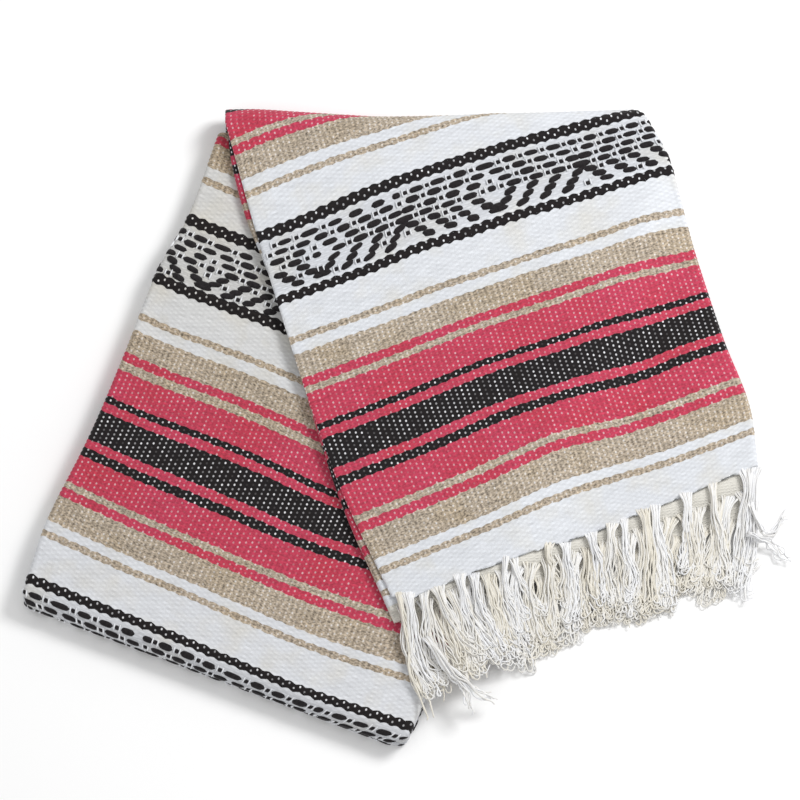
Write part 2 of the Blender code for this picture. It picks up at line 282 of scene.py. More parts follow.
# Stripes from the middle of a black bar to the middle of the diamonds: where each ends
halfStripes = (   # pattern length, colour
    (14.5, "black"),
    (23.5, "red"),
    (32.0, "black"),
    (61.8, "red"),
    (69.0, "tan"),
    (77.8, "red"),
    (103.5, "tan"),
    (114.0, "white"),
    (121.0, "tan"),
    (155.0, "white"),
    (165.5, "black"),
    (194.0, "white"),
)
chainMiddle = 160.2             # a chain line's middle, from the middle of the bar

# How much each colour of weft is heathered, how much warp shows on it, how far its dye varies
yarnCharacter = {"white": (0.10, 0.0, 0.0), "tan": (1.0, 0.6, 0.0),
                 "red": (0.42, 0.5, 1.0), "black": (0.3, 0.95, 0.0)}

stripeEdge = {
    "push": 0.4,                # how far a bulge pushes it, and twice that on a chain line
    "uneven": 0.9,              # how far that varies
}
grain = {                       # scales of the noise along the weft and across it
    "slubs": (0.05, 3.7),
    "flecks": (0.36, 0.6),
}
shades = {                      # how far a heathered yarn gets lighter and darker
    "flecks": 2.6,              # in flecks,
    "bulges": 0.3,              # from bulge to bulge
    "threads": 0.12,            # and over the warp threads,
    "slubs": 0.34,              # and any yarn along its length
    "hollows": 0.12,            # how much of their shade the hollows take
    "ground": 0.12,             # and the diamonds' ground,
    "gaps": 0.4,                # and more in its gaps
}
warpDots = {
    "halfWidth": 1.15,
    "halfLength": 1.3,
    "crispness": 1.6,
    "least": 0.02,              # the weakest dot
    "chainHalf": 8.0,           # within this of a chain line's middle, they lie in two rows,
    "chainRow": 1.75,           # each this far from it
    "chainLeast": 0.3,          # the weakest dot there, and how far they vary
    "chainVaries": 0.8,
}
patches = (      # scale, detail, where in the noise they start and end, strength, colour, red alone
    (0.016, 1.0, 0.35, 0.7, 0.45, (0.94, 0.74, 0.6, 1.0), True),
    (0.022, 3.0, 0.48, 0.7, 0.8, (0.97, 0.93, 0.84, 1.0), False),
)


def startMaterial(name, roughness, sheen):
    material = bpy.data.materials.new(name)
    material.use_nodes = True
    shader = material.node_tree.nodes["Principled BSDF"]
    shader.inputs["Roughness"].default_value = roughness
    shader.inputs["Specular IOR Level"].default_value = 0.2
    shader.inputs["Sheen Weight"].default_value = sheen
    shader.inputs["Sheen Roughness"].default_value = 0.5
    return material, shader


def endMaterial(material, shader, colour, bump):
    material.node_tree.links.new(colour, shader.inputs["Base Color"])
    material.node_tree.links.new(bump.outputs[0], shader.inputs["Normal"])
    return material


def stripeRamp(share, colours):
    # one constant stop for each stripe of half a repeat
    ramp = addNode(share.material, "ValToRGB", (), {0: share})
    ramp.color_ramp.interpolation = "CONSTANT"
    start = 0.0
    for number, (end, colour) in enumerate(halfStripes):
        stops = ramp.color_ramp.elements
        stop = stops[number] if number < 2 else stops.new(start)
        stop.position = start
        stop.color = (*colours[colour][:3], 1.0)
        start = end / weave["halfRepeat"]
    return ramp.outputs[0]


class WeavePlace:
    # where a point lies in the weave, from the piece's own u (mm) and v (pattern lengths)
    def __init__(self, material):
        self.place = addNode(material, "UVMap", {"uv_map": "clothPlace"}).outputs[0]
        split = addNode(material, "SeparateXYZ", (), {0: self.place})
        self.u, self.v = Value(material, split.outputs[0]), Value(material, split.outputs[1])
        self.x, self.y = self.u / (2 * weave["endPitch"]), self.v / weave["pickPitch"]
        self.pick = calculate("ROUND", self.y)
        self.upPick = self.y - self.pick
        self.staggered = self.pick * 0.5 + self.x
        self.wave = calculate("COSINE", self.staggered * (2 * math.pi))
        self.fromBar = calculate("PINGPONG", self.v - weave["firstBar"], weave["halfRepeat"])
        self.fromChain = self.fromBar - chainMiddle
        self.inChain = (calculate("LESS_THAN", abs(self.fromChain), warpDots["chainHalf"])
                        * calculate("GREATER_THAN", self.v, weave["plainEnd"] + 2.0))
        self.bulgeChance = chance(calculate("FLOOR", self.staggered), self.pick)
        along, across = grain["slubs"]
        self.slubs = noise(material, pair(self.u * along, self.pick * across), 1.0, 2.0)


def stripeShare(at):
    # a stripe is made of whole picks, and its edges are scalloped by their bulges, most on a chain
    row = calculate("FLOOR", at.y)
    border = row * 0.5 + at.x
    push = calculate("COSINE", border * (2 * math.pi)) * (at.inChain + 1.0) * stripeEdge["push"]
    push = push + (chance(calculate("FLOOR", border * 2.0), row) - 0.5) * stripeEdge["uneven"]
    length = calculate("ROUND", at.y - push / weave["pickPitch"]) * weave["pickPitch"]
    length = calculate("MAXIMUM", length, weave["plainEnd"])
    missing = calculate("COMPARE", length, weave["narrowChain"], weave["pickPitch"] / 2)
    length = length + missing * weave["pickPitch"]
    fromBar = calculate("PINGPONG", length - weave["firstBar"], weave["halfRepeat"])
    return fromBar / weave["halfRepeat"]


def dyeYarn(material, at, colour, heather, isRed):
    # uneven dye along each weft, heathered flecks, and no two bulges quite alike
    along, across = grain["flecks"]
    flecks = noise(material, pair(at.u * along, at.v * across), 1.0, 1.5, 0.6)
    threads = calculate("COSINE", at.x * (4 * math.pi))
    tone = ((flecks - 0.5) * shades["flecks"] + (at.bulgeChance - 0.5) * shades["bulges"]
            + threads * shades["threads"])
    tone = tone * heather + (at.slubs - 0.5) * shades["slubs"] + 1.0
    grey = addNode(material, "CombineColor", (), {0: tone, 1: tone, 2: tone}).outputs[0]
    colour = mixColour(material, 1.0, colour, grey, "MULTIPLY")

    # wide patches are warmer on the red, and others creamier on all of it
    for scale, detail, low, high, strength, tint, redAlone in patches:
        share = ranged(noise(material, at.place, scale, detail), low, high, strength)
        colour = mixColour(material, share * isRed if redAlone else share, colour, tint, "MULTIPLY")
    return colour


def warpShows(at, showing):
    # the white warp shows as a dot on every second thread, staggered from pick to pick,
    # and on a chain in two rows only
    onChain, offChain = at.inChain, 1.0 - at.inChain
    side = calculate("GREATER_THAN", at.fromChain, 0.0)
    chainCell = side * 0.5 + at.x
    across = ((calculate("FRACT", at.staggered) - 0.5) * offChain
              + (calculate("FRACT", chainCell) - 0.5) * onChain)
    along = (at.upPick * weave["pickPitch"] * offChain
             + (abs(at.fromChain) - warpDots["chainRow"]) * onChain)
    across = across * (2 * weave["endPitch"] / warpDots["halfWidth"])
    along = along / warpDots["halfLength"]
    dot = clamped((1.0 - (across * across + along * along)) * warpDots["crispness"])
    chainChance = chance(calculate("FLOOR", chainCell), side)
    chainStrength = chainChance * warpDots["chainVaries"] + warpDots["chainLeast"]
    strength = (at.bulgeChance + warpDots["least"]) * offChain + chainStrength * onChain
    return dot * clamped(strength) * showing


def wovenMaterial(name, tint=(1.0, 1.0, 1.0), lastShadeTint=(1.0, 1.0, 1.0)):
    # weft stripes over a white warp; an arm's tint is painted shade, and changes to the last one far
    # from the fringe
    material, shader = startMaterial(name, 0.93, 0.1)
    at = WeavePlace(material)
    share = stripeShare(at)
    character = addNode(material, "SeparateColor", (), {0: stripeRamp(share, yarnCharacter)})
    heather, showing, isRed = [Value(material, output) for output in character.outputs]
    colour = dyeYarn(material, at, stripeRamp(share, wool), heather, isRed)
    dot = warpShows(at, showing)
    colour = mixColour(material, dot, colour, wool["warp"])

    # painted shade on the ground of the diamonds, which lies a little deeper, most in the gaps between
    # picks
    gaps = ranged(abs(at.upPick), 0.32, 0.52) * ranged(at.slubs, 0.4, 0.65)
    depth = ranged(at.fromBar, *weave["ground"]) * (gaps * shades["gaps"] + shades["ground"])
    colour = mixColour(material, depth, colour, wool["ground"])
    isHiddenEnd = ranged(at.v, *weave["hiddenEnds"])
    colour = mixColour(material, isHiddenEnd, colour, wool["hiddenEnd"])

    # painted shade in the hollows between the bulges
    hollow = (0.5 - at.wave * 0.5) * (1.0 - dot)
    colour = mixColour(material, hollow * shades["hollows"], colour, wool["hollow"])
    # painted shade: the arm's tint, changing to its last, lighter one far from the fringe
    change = ranged(at.v, *weave["shadeChange"])
    armShade = mixColour(material, change, (*tint, 1.0), (*lastShadeTint, 1.0))
    colour = mixColour(material, 1.0, colour, armShade, "MULTIPLY")

    # the hidden layers' ends have their weave as bump alone
    bulges = (at.wave * 0.5 + 0.5) * calculate("COSINE", at.upPick * math.pi) * isHiddenEnd
    weaveBump = addNode(material, "Bump", (), {"Height": bulges, "Strength": 0.7, "Distance": 0.0006})
    fibres = noise(material, at.place, 1.1, 4.0, 0.65)
    bump = addNode(material, "Bump", (), {"Height": fibres, "Strength": 0.6, "Distance": 0.0008,
                                          "Normal": weaveBump.outputs[0]})
    return endMaterial(material, shader, colour, bump)


def yarnMaterial(name, first, second, ownShare=False):
    # soft spun yarn of two colours; in the fringe, u is each yarn's own share of the second
    material, shader = startMaterial(name, 0.95, 0.15)
    place = addNode(material, "UVMap", {"uv_map": "clothPlace"}).outputs[0]
    share = ranged(noise(material, place, 0.35, 3.0), 0.35, 0.7, 0.7)
    if ownShare:
        own = addNode(material, "SeparateXYZ", (), {0: place}).outputs[0]
        share = clamped(share * 0.4 + Value(material, own))
    colour = mixColour(material, share, first, second)
    onPiece = addNode(material, "TexCoord").outputs["Object"]
    fibres = noise(material, onPiece, 900.0, 3.0)
    bump = addNode(material, "Bump", (), {"Height": fibres, "Strength": 0.5, "Distance": 0.0006})
    return endMaterial(material, shader, colour, bump)


# Cloth that follows the folds

def placeAcross(left, right, out, columns, leftRadius, turn=1.0):
    # points and outward directions on straight lines that are rounded at their ends
    across = unit(right - left)
    width = np.linalg.norm(right - left, axis=-1)[..., None]
    rightRadius = folded["sideFold"]
    base = leftRadius + columns["flat"] * (width[..., 0] - leftRadius - rightRadius)
    rightTurn = turn * columns["right"] / rightRadius
    leftArc = columns["left"]
    leftTurn = np.zeros_like(rightTurn)
    turnIn = np.zeros_like(rightTurn)
    if leftRadius:
        leftTurn = turn * np.minimum(leftArc / leftRadius, math.pi)
        turnIn = turn * np.maximum(leftArc - math.pi * leftRadius, 0.0)
    place = base + rightRadius * np.sin(rightTurn) - leftRadius * np.sin(leftTurn) + turnIn
    depth = rightRadius * (1 - np.cos(rightTurn)) + leftRadius * (1 - np.cos(leftTurn))
    points = left + across * place[..., None] - out * depth[..., None]
    normals = out * np.cos(rightTurn + leftTurn)[..., None]
    normals = normals + across * (np.sin(rightTurn) - np.sin(leftTurn))[..., None]
    flatPoints = left + across * base[..., None]
    return points, unit(normals), flatPoints


def splitColumns(u, width, leftRadius):
    # what part of a line each column stands on, from its distance across the cloth
    start, end = leftRadius, width - folded["sideFold"]
    return {
        "share": u / width,
        "flat": np.clip((u - start) / (end - start), 0.0, 1.0),
        "left": np.maximum(start - u, 0.0),
        "right": np.maximum(u - end, 0.0),
    }


def foldLines(left, right, away, radius, insets, turn):
    # lines round a fold that turns down and under, in their places at each angle
    across = unit(right - left)
    out = away * np.sin(turn)[..., None] + up * np.cos(turn)[..., None]
    roundOff = (1.0 - np.abs(np.cos(turn)))[..., None]
    centre = up * radius
    return (left + across * insets[0] * roundOff + centre + out * radius,
            right - across * insets[1] * roundOff + centre + out * radius, out)


topSag = (        # share across, how far the top fold stands out there
    (0.00, 5.0),
    (0.08, 5.0),
    (0.18, 2.0),
    (0.28, -1.0),
    (0.37, -3.5),
    (0.47, -3.5),
    (0.57, -2.5),
    (0.66, -1.0),
    (0.81, 0.0),
    (1.00, 2.5),
)


def sagged(points, share, route, away):
    # the top fold isn't quite straight
    return points + away * (readTable(topSag, share)[..., 0] * smooth((route - 0.8) / 0.2))[..., None]


frontArm = {
    "width": 430.0,
    "leftRadius": 0.0,
    "leftLength": 506.0,        # pattern lengths up its edges
    "rightLength": 376.0,
    "bow": 10.0,                # how far the stripes bow near the top fold
    "endStray": 8.0,            # how far they stray at the fringe,
    "middleStray": 7.5,         # and how much less at the middle
}
backArm = {
    "width": 419.0,
    "leftRadius": folded["leftFold"],
    "leftStart": 617.0,         # pattern lengths at the top fold, and from there down its edges
    "leftLength": 491.0,
    "rightStart": 456.0,
    "rightLength": 657.6,
    "bow": 10.0,                # how far the stripes bow halfway down,
    "leastBow": 3.0,            # and more by this all along
    "leftStray": 9.5,           # how far they stray above the bottom fold, on its left,
    "rightStray": 9.0,          # and at the fold, on its right
    "under": 55.0,              # how much cloth goes back under the fold
}
frontWaves = (   # share across, pattern length, their half widths, how far the weft strays
    (0.43, 165.0, 0.14, 80.0, -4.0),
    (0.90, 165.0, 0.10, 60.0, -3.0),
    (0.78, 320.0, 0.12, 55.0, 3.0),
    (0.36, 322.0, 0.08, 40.0, -2.5),
    (0.10, 390.0, 0.12, 40.0, 2.0),
)


def frontSurface(columns, route):
    # route: 0 to 1 up the arm, 1 to 2 round the top fold
    share = np.clip(route, 0.0, 1.0)
    turn = math.pi * np.clip(route - 1.0, 0.0, 1.0)
    left, right = edgePoint(frontLeft, share), edgePoint(frontRight, share)
    lastLeft, lastRight = edgePoint(frontLeft, 1.0), edgePoint(frontRight, 1.0)
    across = unit(lastRight - lastLeft)
    away = np.array((-across[1], across[0], 0.0))
    foldLeft, foldRight, foldOut = foldLines(lastLeft, lastRight, away, folded["topFold"],
                                             (0.0, folded["roundedEnd"]), turn)
    onFold = (route > 1.0)[..., None]
    left = np.where(onFold, foldLeft, left)
    right = np.where(onFold, foldRight, right)
    out = np.where(onFold, foldOut, up)
    points, normals, flat = placeAcross(left, right, out, columns, 0.0)
    lift = coverHeight(flat[..., 0], flat[..., 1]) + folded["strip"]
    points[..., 2] += np.where(route > 1.0, 0.0, lift)
    return sagged(points, columns["share"] + 0.0 * route, route, away), normals


def frontLength(columns, route):
    # pattern length at a place on the front arm: stretched towards the fringe, and with soft waves
    e, s = np.clip(columns["share"], 0, 1), np.clip(route, 0.0, 1.0)
    bow = frontArm["bow"] * np.sin(math.pi * e) * smooth((s - 0.62) / 0.3)
    length = frontArm["leftLength"] * s * (1 - e) + frontArm["rightLength"] * s * e - bow
    middle = np.exp(-((e - 0.58) / 0.16) ** 2)
    waves = frontArm["endStray"] - frontArm["middleStray"] * middle
    waves = waves * smooth((150.0 - length) / 110.0)
    for share, place, halfShare, halfLength, height in frontWaves:
        waves = waves + height * np.exp(-((e - share) / halfShare) ** 2
                                        - ((length - place) / halfLength) ** 2)
    turn = math.pi * np.clip(route - 1.0, 0.0, 1.0)
    return length + waves + folded["topFold"] * turn / weave["frontStretch"]


def backSurface(columns, route):
    # route: 0 to 1 down the arm, 1 to 2 round the bottom fold, 2 to 3 back under it
    share = np.clip(route, 0.0, 1.0)
    turn = math.pi * np.clip(route - 1.0, 0.0, 1.0)
    height = folded["stack"]
    left, right = edgePoint(backLeft, share, height), edgePoint(backRight, share, height)
    lastLeft, lastRight = edgePoint(backLeft, 1.0), edgePoint(backRight, 1.0)
    across = unit(lastRight - lastLeft)
    away = np.array((across[1], -across[0], 0.0))
    foldLeft, foldRight, foldOut = foldLines(lastLeft, lastRight, away, folded["bottomFold"],
                                             folded["noses"], turn)
    under = 1.0 - (1.0 - folded["returnShare"]) * np.clip(route - 2.0, 0.0, 1.0)
    onFold = (route > 1.0)[..., None]
    onReturn = (route > 2.0)[..., None]
    left = np.where(onReturn, edgePoint(backLeft, under), np.where(onFold, foldLeft, left))
    right = np.where(onReturn, edgePoint(backRight, under), np.where(onFold, foldRight, right))
    out = np.where(onReturn, -up, np.where(onFold, foldOut, up))
    sideTurn = 1.0 - 0.65 * smooth(turn / (math.pi / 2))
    points, normals, _ = placeAcross(left, right, out, columns, folded["leftFold"], sideTurn)
    return points, normals


def backLength(columns, route):
    # pattern length at a place on the back arm
    e, s = np.clip(columns["share"], 0, 1), np.clip(route, 0.0, 1.0)
    bow = backArm["bow"] * np.sqrt(np.sin(math.pi * s)) + backArm["leastBow"]
    length = ((backArm["leftStart"] + backArm["leftLength"] * s) * (1 - e)
              + (backArm["rightStart"] + backArm["rightLength"] * s) * e - bow * np.sin(math.pi * e))
    onLeft = smooth(e / 0.36) * (1 - 0.7 * smooth((e - 0.4) / 0.25))
    onRight = smooth((e - 0.3) / 0.5)
    waves = (backArm["leftStray"] * onLeft * smooth((1020.0 - length) / 130.0)
             - backArm["rightStray"] * onRight * smooth((length - 960.0) / 90.0))
    turn = math.pi * np.clip(route - 1.0, 0.0, 1.0)
    under = backArm["under"] * np.clip(route - 2.0, 0.0, 1.0)
    return length + waves + (folded["bottomFold"] * turn + under) * weave["backShare"]


# Long soft troughs and ridges
frontCreases = (  # from x, y, to x, y, half width, height
    (60.0, 120.0, 190.0, 190.0, 26.0, 1.1),
    (-60.0, -20.0, 60.0, -70.0, 20.0, -0.9),
    (150.0, -40.0, 300.0, 20.0, 30.0, 1.3),
    (120.0, 210.0, 250.0, 130.0, 22.0, -1.0),
    (-90.0, 200.0, 20.0, 230.0, 18.0, 0.8),
    (230.0, 40.0, 320.0, -30.0, 16.0, -0.8),
)
backCreases = (
    (-300.0, -60.0, -180.0, -110.0, 24.0, 1.0),
    (-250.0, 90.0, -190.0, 20.0, 18.0, -0.8),
    (-200.0, -200.0, -60.0, -250.0, 22.0, 1.2),
    (-330.0, -190.0, -240.0, -200.0, 14.0, -0.8),
    (-120.0, -120.0, -90.0, -210.0, 16.0, -0.7),
)


def creaseHeight(creases, x, y):
    total = np.zeros_like(x)
    for startX, startY, endX, endY, halfWidth, height in creases:
        dx, dy = endX - startX, endY - startY
        length = math.hypot(dx, dy)
        along = ((x - startX) * dx + (y - startY) * dy) / length
        aside = ((x - startX) * -dy + (y - startY) * dx) / length
        past = np.maximum(np.maximum(-along, along - length), 0.0)
        total += height * np.exp(-(aside / halfWidth) ** 2 - (past / (1.6 * halfWidth)) ** 2)
    return total


def unevenEnd(u):
    # the fringe end isn't straight: wefts slip a little between the tied bundles
    wander = np.sin(u * 0.21) + 0.7 * np.sin(u * 0.47 + 1.0) + 0.5 * np.sin(u * 1.1 + 2.0)
    return 1.6 + 0.9 * wander + 7.0 * np.exp(-(u / 9.0) ** 2)


class Cloth:
    # a grid of points, four columns to a warp thread and one row to a pick
    def __init__(self, surface, lengthAt, arm, firstU, lastU, routeEnd, creases, ragged=False):
        self.surface, self.lengthAt, self.arm = surface, lengthAt, arm
        self.routeEnd = routeEnd
        self.columnStep = weave["endPitch"] / 4
        self.rowStep = weave["pickPitch"]
        first = math.floor(firstU / self.columnStep)
        last = math.floor(lastU / self.columnStep)
        self.u = np.arange(first, last + 1) * self.columnStep
        self.columns = splitColumns(self.u, arm["width"], arm["leftRadius"])
        routes = np.linspace(0.0, routeEnd, 900)
        table = self.lengthAt({k: c[:, None] for k, c in self.columns.items()}, routes[None, :])
        starts = table[:, 0] + unevenEnd(self.u) if ragged else table[:, 0]
        ends = table[:, -1]
        firstRow = math.floor(starts.min() / self.rowStep)
        lastRow = math.ceil(ends.max() / self.rowStep)
        self.rows = np.arange(firstRow, lastRow + 1) * self.rowStep
        self.first = np.floor(starts / self.rowStep + 1e-6).astype(int) - firstRow
        self.last = np.ceil(ends / self.rowStep - 1e-6).astype(int) - firstRow
        lengths = np.clip(self.rows[:, None], starts[None, :], ends[None, :])
        route = np.empty_like(lengths)
        for k in range(len(self.u)):
            route[:, k] = np.interp(lengths[:, k], table[k], routes)
        self.lengths, self.route = lengths, route
        self.points, self.normals = surface(self.columns, route)
        soft = creaseHeight(creases, self.points[..., 0], self.points[..., 1])
        self.points = self.points + self.normals * (soft * self.normals[..., 2])[..., None]

    def relief(self):
        # bulges of the weft between the warp threads that cross over it
        pick = np.round(self.lengths / weave["pickPitch"])
        bulge = 0.5 + 0.5 * np.cos(2 * math.pi * (self.u / (2 * weave["endPitch"]) + pick / 2))
        fromBar = np.abs((self.lengths - weave["firstBar"] + weave["halfRepeat"])
                         % (2 * weave["halfRepeat"]) - weave["halfRepeat"])
        chain = np.exp(-((fromBar - chainMiddle) / 4.5) ** 4) * (self.lengths > weave["plainEnd"])
        height = weave["relief"] * bulge * (1.0 + 0.7 * chain) + weave["chainRise"] * chain
        edge = np.minimum(self.u - self.u[0], self.u[-1] - self.u)
        return height - 1.2 * np.clip(1.0 - edge / 2.2, 0.0, 1.0) ** 2

    def at(self, u, length, lift):
        # points on the cloth, a little above it
        column = np.clip((np.asarray(u) - self.u[0]) / self.columnStep, 0, len(self.u) - 1.001)
        row = np.clip((np.asarray(length) - self.rows[0]) / self.rowStep, 0, len(self.rows) - 1.001)
        i, j = row.astype(int), column.astype(int)
        a, b = (row - i)[..., None], (column - j)[..., None]

        def blend(grid):
            return ((grid[i, j] * (1 - b) + grid[i, j + 1] * b) * (1 - a)
                    + (grid[i + 1, j] * (1 - b) + grid[i + 1, j + 1] * b) * a)

        points = blend(self.points) + unit(blend(self.normals)) * np.asarray(lift)[..., None]
        points[..., 2] = np.maximum(points[..., 2], 0.0)
        return points

    def build(self, name, material):
        rowCount, columnCount = self.lengths.shape
        rowNumber = np.arange(rowCount)[:, None]
        used = (rowNumber >= self.first) & (rowNumber <= self.last)
        number = np.full((rowCount, columnCount), -1)
        number[used] = np.arange(used.sum())
        columnNumber = np.arange(columnCount)
        nearest = number[np.clip(rowNumber, self.first, self.last), columnNumber]
        outer = (self.points + self.normals * self.relief()[..., None])[used]
        outer[:, 2] = np.maximum(outer[:, 2], 0.0)
        uv = np.stack([np.broadcast_to(self.u, self.lengths.shape)[used], self.lengths[used]], axis=-1)
        a, b = nearest[:-1, :-1].ravel(), nearest[:-1, 1:].ravel()
        c, d = nearest[1:, 1:].ravel(), nearest[1:, :-1].ravel()
        quads = np.stack([a, b, c, d], axis=-1)[(a != d) & (b != c)]
        lower = np.stack([a, b, c], axis=-1)[(a == d) & (b != c)]
        upper = np.stack([a, b, d], axis=-1)[(a != d) & (b == c)]

        # inside of the cloth, with fewer points
        innerU = np.unique(np.concatenate([self.u[::16], self.u[:24:4], self.u[-24::4], self.u[-1:]]))
        innerRoute = np.unique(np.concatenate([np.linspace(0, 1, 24),
                                               np.linspace(1, self.routeEnd, 14)]))
        innerColumns = splitColumns(innerU, self.arm["width"], self.arm["leftRadius"])
        routeOf = np.broadcast_to(innerRoute[:, None], (len(innerRoute), len(innerU))).copy()
        routeOf[0] = np.interp(innerU, self.u, self.route[self.first, columnNumber])
        points, normals = self.surface(innerColumns, routeOf)
        inner = points - normals * folded["cloth"]
        innerNumber = len(outer) + np.arange(inner[..., 0].size).reshape(inner.shape[:2])
        lengths = self.lengthAt(innerColumns, routeOf)
        innerUv = np.stack([np.broadcast_to(innerU, lengths.shape), lengths], axis=-1)
        e, f = innerNumber[:-1, :-1].ravel(), innerNumber[:-1, 1:].ravel()
        g, h = innerNumber[1:, 1:].ravel(), innerNumber[1:, :-1].ravel()
        quads = np.concatenate([quads, np.stack([e, h, g, f], axis=-1)])

        # the ends and the edges between the two
        triangles = [lower, upper]
        for ends, row in ((self.first, 0), (self.last, -1)):
            triangles.append(zipEdges(number[ends, columnNumber], self.u, innerNumber[row], innerU))
        for column, innerColumn in ((0, 0), (columnCount - 1, -1)):
            span = slice(self.first[column], self.last[column] + 1)
            triangles.append(zipEdges(number[span, column], self.route[span, column],
                                      innerNumber[:, innerColumn], routeOf[:, innerColumn]))
        faces = [quads] + [t for t in triangles if len(t)]
        return addPiece(name, np.concatenate([outer, inner.reshape(-1, 3)]), faces, material,
                        np.concatenate([uv, innerUv.reshape(-1, 2)]))


def zipEdges(first, firstPlaces, second, secondPlaces):
    # triangles between two rows of points that start and end together
    triangles = []
    i, j = 0, 0
    while i < len(first) - 1 or j < len(second) - 1:
        nextFirst = firstPlaces[i + 1] if i < len(first) - 1 else math.inf
        nextSecond = secondPlaces[j + 1] if j < len(second) - 1 else math.inf
        if nextFirst <= nextSecond:
            triangles.append((first[i], first[i + 1], second[j]))
            i += 1
        else:
            triangles.append((first[i], second[j + 1], second[j]))
            j += 1
    return np.array(triangles)


print("weaving the cloths")
frontWeave = wovenMaterial("frontWeave")
# the back arm's tints are painted shade, darker and warmer towards the top fold than further down
backWeave = wovenMaterial("backWeave", (0.89, 0.86, 0.8), (0.98, 0.97, 0.96))
frontCloth = Cloth(frontSurface, frontLength, frontArm, 0.0, 442.8, 2.0, frontCreases, ragged=True)
backCloth = Cloth(backSurface, backLength, backArm, -16.1, 431.8, 2.5, backCreases)
frontPiece = frontCloth.build("frontCloth", frontWeave)
backPiece = backCloth.build("backCloth", backWeave)
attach(frontPiece, "root")
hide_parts("front_arm")
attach(backPiece, "root")
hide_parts("back_arm", "bottom_fold")


# The layers inside

layers = {
    "inset": 20.0,              # the stripes on them are this far out of step,
    "topInset": 41.0,           # and further near the top fold
    "ringStep": 0.012,          # rings along the arm, as a share of it
    "gap": 0.5,                 # between the front cloth and the layers under it
    "endLength": -40.0,         # pattern length of their ends
    "endReach": 8.0,            # how far those show past the left edge
    "foldLength": 18.0,         # pattern length to a radian round the top fold
    "lift": 3.3,                # the back layers stand this high over the cloth under them,
    "top": 22.7,                # and reach up to this
    "backCloth": 3.0,           # cloth that lies over them
    "ripple": 9.0,              # how far the stripes differ from layer to layer
}
frontEnds = (    # distance up the arm, what a layer adds left and right, depth of its top
    (4.5, 18.0, 48.0, 9.3),
    (6.0, 18.0, 48.0, 8.3),
    (6.0, 9.0, 25.0, 8.3),
    (6.6, 9.0, 25.0, 3.8),
    (0.6, 0.0, 0.0, 3.8),
)
peep = (         # share, width that shows past the front arm's left edge
    (0.00, 8.0),
    (0.15, 6.0),
    (0.35, 1.5),
    (0.60, -2.0),
    (0.72, 0.5),
    (0.80, 5.0),
    (0.88, 5.5),
    (0.95, 3.0),
    (1.00, -3.0),
)
hiddenLeft = (   # depth, inset
    (8.7, 2.0),
    (10.2, 0.8),
    (11.8, 2.2),
    (12.1, 4.5),
    (12.4, 2.4),
    (13.9, 1.2),
    (15.3, 2.6),
    (15.6, 5.0),
    (16.2, 2.0),
    (18.5, 0.2),
    (21.5, 0.0),
    (24.5, 1.6),
    (26.0, 5.5),
)
hiddenRight = (  # depth, inset
    (12.4, 6.4),
    (12.8, 3.4),
    (14.6, 1.0),
    (18.0, 0.0),
    (21.5, 0.4),
    (24.4, 2.2),
    (26.0, 6.0),
)


def loft(name, sections, material):
    # closed body through rings of points and their places, with its two ends capped
    rings, places = [np.array(part) for part in zip(*sections)]
    count = rings.shape[1]
    number = np.arange(rings.shape[0] * count).reshape(rings.shape[:2])
    nxt = np.roll(number, -1, axis=1)
    quads = np.stack([number[:-1], nxt[:-1], nxt[1:], number[1:]], axis=-1).reshape(-1, 4)
    caps = [number[:1, ::-1], number[-1:]]
    return addPiece(name, rings.reshape(-1, 3), [quads] + caps, material, places.reshape(-1, 2))


def endLine(distance, extraLeft=0.0, extraRight=0.0):
    # line across the fringe end: distance up the arm, less what a lower layer adds
    ends = []
    for rows, extra in ((frontLeft, extraLeft), (frontRight, extraRight)):
        start, ahead = edgePoint(rows, 0.0), edgePoint(rows, 0.05)
        ends.append(start + unit(ahead - start) * (distance - extra))
    return ends


def frontLayerRing(left, right, out, onCover, reach, top, bottom, length, route=0.0):
    # section of the layers under the front arm, rounded at its left
    across, width = unit(right - left), np.linalg.norm(right - left)
    away = np.array((-across[1], across[0], 0.0))
    radius = (bottom - top) / 2
    start, end = radius - reach, width - folded["sideFold"] - (0.3 if onCover else 6.0)
    along = np.linspace(start, end, 24)
    turns = np.linspace(math.pi, 0.0, 16)[1:-1]
    place = np.concatenate([along, along[::-1], start - radius * np.sin(turns)])
    depth = np.concatenate([np.full(24, top), np.full(24, bottom), top + radius * (1 - np.cos(turns))])
    points = left + across * place[:, None]
    if onCover:
        points[:, 2] = coverHeight(points[:, 0], points[:, 1]) + folded["strip"]
    points = points - out * depth[:, None]
    e = np.clip(place / width, 0.0, 1.0)
    v = length(e) + layers["inset"] + np.where(depth > (top + bottom) / 2, 3.0, 0.0)
    return sagged(points, e, route, away), np.stack([place - depth, v], axis=-1)


